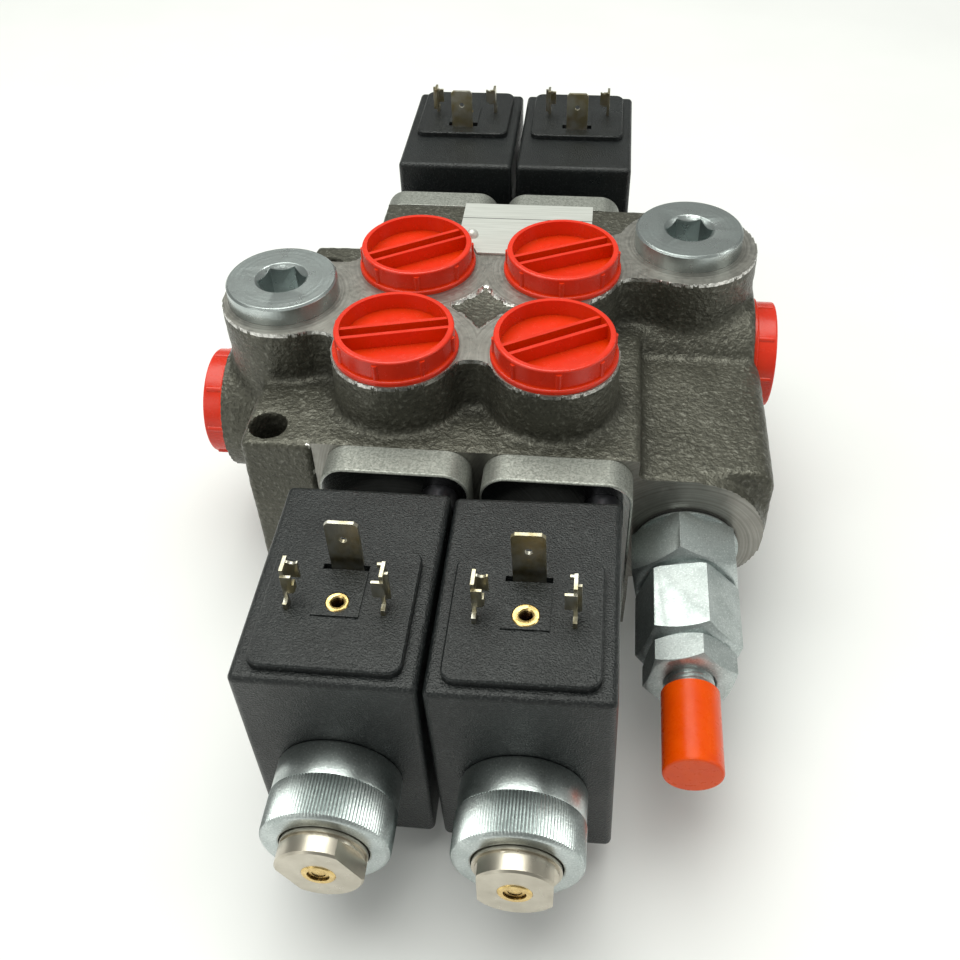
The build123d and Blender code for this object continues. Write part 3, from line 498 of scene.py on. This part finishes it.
def knurled_nut(side, hand):
    node = f"coil_nut_{side}_{hand}"
    low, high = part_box(node)
    radius = (high.z - low.z) / 2
    out = -1 if side == "front" else 1
    near, far = (high.y, low.y) if side == "front" else (low.y, high.y)
    band = radius - BAND_STEP
    # distance out from the coil, radius, share of the knurl's depth
    outline = [
        (0.0, NUT_BORE, 0), (0.0, band - 0.6 * MM, 0), (0.18 * MM, band - 0.18 * MM, 0),
        (0.6 * MM, band, 0), (6.6 * MM, band, 0), (6.85 * MM, band - 0.05 * MM, 0),
        (6.9 * MM, radius - 0.1 * MM, 0.8), (7.15 * MM, radius, 1), (14.2 * MM, radius, 1),
        (14.7 * MM, radius - 0.15 * MM, 0.6), (15.05 * MM, radius - 0.55 * MM, 0),
        (15.33 * MM, radius - 0.95 * MM, 0), (15.4 * MM, radius - 1.2 * MM, 0),
        (15.4 * MM, 8.75 * MM, 0), (15.25 * MM, 8.45 * MM, 0), (11.0 * MM, NUT_COUNTERBORE, 0),
        (11.0 * MM, NUT_BORE, 0)]
    spokes = KNURL_TEETH * len(TOOTH)
    angle = np.arange(spokes) * 2 * pi / spokes
    cut = np.tile(TOOTH, KNURL_TEETH) * KNURL_DEPTH
    rings = []
    for step, reach, share in outline:
        r = reach - cut * share
        y = np.full(spokes, near + out * step)
        rings.append(np.stack([(low.x + high.x) / 2 + r * np.cos(angle), y,
                               (low.z + high.z) / 2 + r * np.sin(angle)], -1))
    mesh = joined([closed_rings(np.array(rings))])
    bright = bpy.data.materials.get("nut_zinc") or zinc("nut_zinc", 0.33)
    return finish_piece(mesh, f"knurled_nut_{side}_{hand}", node, materials=[bright], sharp=24)


# ---- threads ---------------------------------------------------------------------------------
def thread_height(turn):
    """Share of the thread's depth at a place along one pitch, 0 at the root and 1 at the crest."""
    place = np.abs((turn % 1.0) * 2 - 1)
    return np.clip((place - 0.12) / 0.72, 0, 1)


SCREW_PITCH, SCREW_DEPTH, SCREW_STEPS = 1.0 * MM, 0.58 * MM, 8      # steps per pitch
SCREW_LEAD_IN = 0.8 * MM         # height of the chamfer at each end
SOCKET_FLAT, SOCKET_DEPTH, SOCKET_MOUTH = 2.5 * MM, 5.0 * MM, 3.4 * MM
POINT = 0.05 * MM                # radius of the rings that close the screw's ends


def adjusting_screw():
    """Relief screw with a real helical thread and a hexagon socket in its end."""
    node = "relief_spindle"
    low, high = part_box(node)
    crest = (high.x - low.x) / 2
    centre = Vector(((low.x + high.x) / 2, 0, (low.z + high.z) / 2))
    spokes, steps = 48, int((high.y - low.y) / SCREW_PITCH * SCREW_STEPS)
    angle = np.arange(spokes) * 2 * pi / spokes
    sixth = pi / 3
    hexagon = SOCKET_FLAT / np.cos((angle + sixth / 2) % sixth - sixth / 2)
    rings = []

    def ring(y, r):
        r = np.broadcast_to(r, spokes)
        rings.append(np.stack([centre.x + r * np.cos(angle), np.full(spokes, y),
                               centre.z + r * np.sin(angle)], -1))

    ring(high.y, POINT)
    for step in range(steps + 1):
        y = high.y + (low.y - high.y) * step / steps
        end = min(y - low.y, high.y - y)
        r = crest - SCREW_DEPTH + SCREW_DEPTH * thread_height(y / SCREW_PITCH + angle / (2 * pi))
        ring(y, np.minimum(r, crest - SCREW_LEAD_IN + end))
    ring(low.y, SOCKET_MOUTH)
    ring(low.y + 0.4 * MM, hexagon)
    ring(low.y + SOCKET_DEPTH, hexagon)
    ring(low.y + SOCKET_DEPTH + 0.6 * MM, POINT)
    mesh = joined([closed_rings(np.array(rings))])
    return finish_piece(mesh, "adjusting_screw", node, sharp=50)


INSERT_RADIUS = {"left": 2.25 * MM, "right": 2.6 * MM}
INSERT_PITCH, INSERT_BORE, INSERT_ROOT, INSERT_LENGTH = 0.5 * MM, 1.25 * MM, 1.5 * MM, 7.0 * MM
INSERT_CHAMFER = 0.25 * MM


def threaded_insert(place, axis, outer):
    """Brass bush with a chamfered outer edge and an M3 thread inside."""
    spokes, steps_per_pitch = 40, 6
    angle = np.arange(spokes) * 2 * pi / spokes
    side = axis.cross(Vector((0, 1, 0))).normalized()
    across = axis.cross(side)
    steps = int(INSERT_LENGTH / INSERT_PITCH * steps_per_pitch)
    outline = [(-INSERT_LENGTH, outer), (-INSERT_CHAMFER, outer), (0.0, outer - INSERT_CHAMFER),
               (0.0, INSERT_ROOT + 0.08 * MM)]
    rings = [(z, np.full(spokes, r)) for z, r in outline]
    for step in range(1, steps + 1):
        z = -INSERT_LENGTH * step / steps
        thread = thread_height(z / INSERT_PITCH + angle / (2 * pi))
        rings.append((z, INSERT_ROOT - (INSERT_ROOT - INSERT_BORE) * thread))
    points = [[place + axis * z + side * (r * cos(a)) + across * (r * sin(a))
               for r, a in zip(radii, angle)] for z, radii in rings]
    return closed_rings(np.array(points))


def threaded_inserts():
    mounts = {mount["name"]: mount for mount in frame["record"]["mounts"]}
    meshes = []
    for side in SIDES:
        for hand in HANDS:
            mount = mounts[f"connector_screw_{side}_{hand}"]
            axis = Vector(mount["axis"]).normalized()
            half = mount["dims"]["length_mm"] * MM / 2
            mouth = Vector(mount["pos_m"]) + axis * half
            meshes.append(threaded_insert(mouth, axis, INSERT_RADIUS[hand]))
    return finish_piece(joined(meshes), "threaded_inserts", "connector_inserts", sharp=40)


# ---- cast body -------------------------------------------------------------------------------
VOXEL = 0.65 * MM
NEAR = 0.5 * MM                  # how close to a machined face counts as on it
BURR_WIDTH = {0: 0.30 * MM, 1: 0.30 * MM, 2: 0.50 * MM}      # by the axis of the faced plane
SMOOTHING = 9                    # rounds of easing on the cast surfaces
CAST, TOP, END, BURR = range(4)  # material slots of the body

# Cutters that shaped the body. A radius is the bore's own, and a floor is its distance from the
# middle of the body.
PORT_BORE_R, TUBE_BORE_R, SPOOL_BORE_R = 9.5 * MM, 10.1 * MM, 8.0 * MM
RELIEF_BORE_R, MOUNT_HOLE_R = 10.0 * MM, 4.25 * MM
BORE_MARGIN = 0.35 * MM
PORT_DEPTH, TUBE_FLOOR, RELIEF_FLOOR = 16 * MM, 44 * MM, 30 * MM
CAP_STANDS_OUT = 5.65 * MM       # a port cap above the face that it closes
CORE_LEFT = -35.0 * MM           # the end faces start here
INLET_FACE_R = 15.2 * MM
FAR = 1.0                        # further than any distance in the body

ON_PLANE, ON_SKIN, FLAT = 0.45, 0.93, 0.97       # how squarely a normal faces its plane
FLUSH = 0.12 * MM                # how close to a plane a flat face counts as milled
SKIN_LAYERS = (                  # size, height, offset of the noise, in millimetres
    (14, 0.16, Vector((0, 0, 0))),
    (2.6, 0.10, Vector((7.1, 3.3, 1.9))),
    (1.5, 0.06, Vector((2.7, 9.2, 4.4))))


def smoothed(points, edges, weight, rounds):
    """Move each point towards the middle of its neighbours by its weight, several times."""
    a, b = edges[:, 0], edges[:, 1]
    count = np.bincount(a, minlength=len(points)) + np.bincount(b, minlength=len(points))
    for _ in range(rounds):
        middle = np.empty_like(points)
        for axis in range(3):
            total = np.bincount(a, points[b, axis], len(points))
            total += np.bincount(b, points[a, axis], len(points))
            middle[:, axis] = total / count
        points += (middle - points) * weight[:, None]
    return points


class Machining:
    """Which places on the body were cut by a tool."""

    def __init__(self):
        low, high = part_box("valve_body")
        self.top = high.z
        self.end = -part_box("flange_front_left")[1].y
        self.tank = low.x
        self.bores, self.holes = [], []      # axis number, centre, radius, from, to
        for axis in port_axes + plug_axes:
            self.bores.append((2, axis, PORT_BORE_R, self.top - PORT_DEPTH, FAR))
        for hand in HANDS:
            centre = axis_of(f"coil_nut_front_{hand}")
            self.bores.append((1, centre, TUBE_BORE_R, -FAR, -TUBE_FLOOR))
            self.bores.append((1, centre, TUBE_BORE_R, TUBE_FLOOR, FAR))
            self.bores.append((1, centre, SPOOL_BORE_R, -FAR, FAR))
        self.bores.append((1, relief_axis, RELIEF_BORE_R, -FAR, -RELIEF_FLOOR))
        tank, inlet = axis_of("port_cap_tank"), axis_of("port_cap_inlet")
        self.bores.append((0, tank, PORT_BORE_R, -FAR, low.x + PORT_DEPTH))
        self.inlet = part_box("port_cap_inlet")[1].x - CAP_STANDS_OUT
        self.bores.append((0, inlet, PORT_BORE_R, self.inlet - PORT_DEPTH, FAR))
        self.inlet_axis = inlet
        for mount in frame["record"]["mounts"]:
            if mount["name"].startswith("mounting_hole"):
                self.holes.append((2, Vector(mount["pos_m"]), MOUNT_HOLE_R, -FAR, FAR))

    def inside(self, bores, points):
        """Which points lie in any of the bores or on their walls."""
        inside = np.zeros(len(points), bool)
        for axis, centre, radius, start, end in bores:
            others = [i for i in range(3) if i != axis]
            offset = points[:, others] - np.array([centre[i] for i in others])
            along = points[:, axis]
            near = np.hypot(*offset.T) < radius + BORE_MARGIN
            inside |= near & (along > start) & (along < end)
        return inside

    def planes(self, points):
        """Distance to the nearest faced plane, and that plane's axis."""
        x, y, z = points.T
        far = np.full(len(points), FAR)
        inlet = self.inlet_axis
        round_inlet = np.hypot(y - inlet.y, z - inlet.z) < INLET_FACE_R
        distances = np.stack([
            np.where(round_inlet & (x > self.inlet - 2 * MM), np.abs(x - self.inlet), far),
            np.abs(x - self.tank),
            np.where(x > CORE_LEFT - NEAR, np.abs(np.abs(y) - self.end), far),
            np.abs(z - self.top), np.abs(z)])
        return distances.min(0), np.array([0, 0, 1, 2, 2])[distances.argmin(0)]


def cast_displacement(point):
    """Height of the cast skin over the pattern: waviness, then sand lumps, then grains."""
    return sum(noise.noise(point * (1 / (size * MM)) + offset) * height * MM
               for size, height, offset in SKIN_LAYERS)


def remeshed(node, voxel):
    """Evenly meshed copy of a CAD node's mesh."""
    holder = bpy.data.objects.new("remesh_work", frame["nodes"][node].data.copy())
    bpy.context.collection.objects.link(holder)
    modifier = holder.modifiers.new("voxels", "REMESH")
    modifier.mode, modifier.voxel_size = "VOXEL", voxel
    mesh = bpy.data.meshes.new_from_object(
        holder.evaluated_get(bpy.context.evaluated_depsgraph_get()))
    bpy.data.objects.remove(holder)
    mesh.materials.clear()
    return mesh


def read_points(mesh):
    flat = np.empty(len(mesh.vertices) * 3)
    mesh.vertices.foreach_get("co", flat)
    return flat.reshape(-1, 3)


def read_normals(items):
    flat = np.empty(len(items) * 3)
    items.foreach_get("normal", flat)
    return flat.reshape(-1, 3)


def write_points(mesh, points):
    mesh.vertices.foreach_set("co", points.ravel())
    mesh.update()


def cast_body():
    machining = Machining()
    mesh = remeshed("valve_body", VOXEL)
    points, normals = read_points(mesh), read_normals(mesh.vertices)
    edges = np.empty(len(mesh.edges) * 2, int)
    mesh.edges.foreach_get("vertices", edges)
    distance, axis = machining.planes(points)
    facing = np.abs(np.take_along_axis(normals, axis[:, None], 1)[:, 0])
    on_plane = (distance < NEAR) & (facing > ON_PLANE)
    bored = machining.inside(machining.bores + machining.holes, points)
    fixed = on_plane | bored
    points = smoothed(points, edges.reshape(-1, 2), np.where(fixed, 0.0, 0.6), SMOOTHING)
    write_points(mesh, points)
    normals = read_normals(mesh.vertices)
    free = ~(on_plane & (facing > ON_SKIN)) & ~bored
    heights = np.array([cast_displacement(Vector(p)) if f else 0.0 for p, f in zip(points, free)])
    points += normals * heights[:, None]
    for number in range(3):
        flush = on_plane & (axis == number)
        near = {0: [machining.inlet, machining.tank], 1: [-machining.end, machining.end],
                2: [machining.top, 0.0]}[number]
        gap = np.abs(points[flush, number][:, None] - np.array(near))
        points[flush, number] = np.array(near)[gap.argmin(1)]
    low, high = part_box("valve_body")
    points = np.clip(points, np.array(low), np.array(high))
    write_points(mesh, points)
    centres = np.array([p.center[:] for p in mesh.polygons])
    normals = read_normals(mesh.polygons)
    distance, axis = machining.planes(centres)
    facing = np.abs(np.take_along_axis(normals, axis[:, None], 1)[:, 0])
    kind = np.zeros(len(centres), int)
    burr = np.array([BURR_WIDTH[number] for number in range(3)])[axis]
    kind[(distance < burr) & (facing < FLAT)] = BURR
    flat_face = (distance < FLUSH) & (facing >= FLAT)
    kind[flat_face & (axis == 2)] = TOP
    kind[flat_face & (axis != 2)] = END
    kind[machining.inside(machining.bores, centres) & ~flat_face] = END
    kind[machining.inside(machining.holes, centres)] = CAST
    mesh.polygons.foreach_set("material_index", kind)
    top = milled_iron("milled_top", port_axes + plug_axes, (1, 1, 0))
    ends = milled_iron("milled_ends", [relief_axis], (1, 0, 1))
    return finish_piece(mesh, "cast_valve_body", "valve_body",
                        materials=[MATERIALS["cast_body"], top, ends, burr_iron()], sharp=40)


# ---- the stage -------------------------------------------------------------------------------
FLOOR_SIZE, FLOOR_DROP = 3.0, 0.05 * MM
LIGHTS = (                       # name, place, size, power
    ("overhead", (-0.12, 0.10, 0.9), 0.9, 10.0),
    ("front_left", (-0.65, -0.75, 0.50), 0.6, 1.8),
    ("right", (0.9, -0.1, 0.45), 0.4, 1.2))


def add_floor():
    size, drop = FLOOR_SIZE, FLOOR_DROP
    mesh = bpy.data.meshes.new("floor")
    corners = [(-size, -size, -drop), (size, -size, -drop), (size, size, -drop), (-size, size, -drop)]
    mesh.from_pydata(corners, [], [(0, 1, 2, 3)])
    s = Shader("pale_floor", (0.86, 0.86, 0.86), 0.7)
    s.colour(s.ramp(s.noise(60 * MM, 3), (0.3, 0.85), (0.7, 0.88)))
    mesh.materials.append(s.material)
    floor = bpy.data.objects.new("floor", mesh)
    bpy.context.collection.objects.link(floor)


def add_light(name, place, size, power):
    data = bpy.data.lights.new(name, "AREA")
    data.energy, data.size, data.color = power, size, (0.98, 1.0, 0.94)
    light = bpy.data.objects.new(name, data)
    light.location = place
    direction = Vector((0, 0, 0.03)) - Vector(place)
    light.rotation_euler = direction.to_track_quat("-Z", "Y").to_euler()
    bpy.context.collection.objects.link(light)


def add_lighting():
    scene = bpy.context.scene
    scene.view_settings.view_transform = "Standard"
    world = bpy.data.worlds.new("studio")
    world.use_nodes = True
    background = world.node_tree.nodes["Background"]
    background.inputs["Color"].default_value = (0.97, 1.0, 0.95, 1.0)
    background.inputs["Strength"].default_value = 0.30
    scene.world = world
    for light in LIGHTS:
        add_light(*light)


# ---- build -----------------------------------------------------------------------------------
EASED = (                        # node, piece, width of its rounded edges
    ("relief_cartridge", "relief_cartridge_hexagon", 0.2 * MM),
    ("relief_bonnet", "relief_bonnet_hexagon", 0.2 * MM),
    ("relief_lock_nut", "relief_locking_nut", 0.15 * MM),
    ("tube_end_plugs", "nickel_end_plugs", 0.12 * MM),
    ("override_bushes", "brass_bushes", 0.08 * MM),
    ("coil_terminals", "connector_blades", 0.07 * MM),
    ("flange_screws", "flange_cap_screws", 0.12 * MM),
    ("name_plate", "blank_name_plate", 0.08 * MM))

add_camera()
add_lighting()
add_floor()
dress_cad_nodes()
cast_body()
flange_outer = machined_alloy()
for side in SIDES:
    for hand in HANDS:
        knurled_nut(side, hand)
        flange_piece(side, hand, flange_outer)
for hand in HANDS:
    turned_zinc_plug(hand)
for node, name, width in EASED:
    eased_copy(node, name, width)
adjusting_screw()
threaded_inserts()
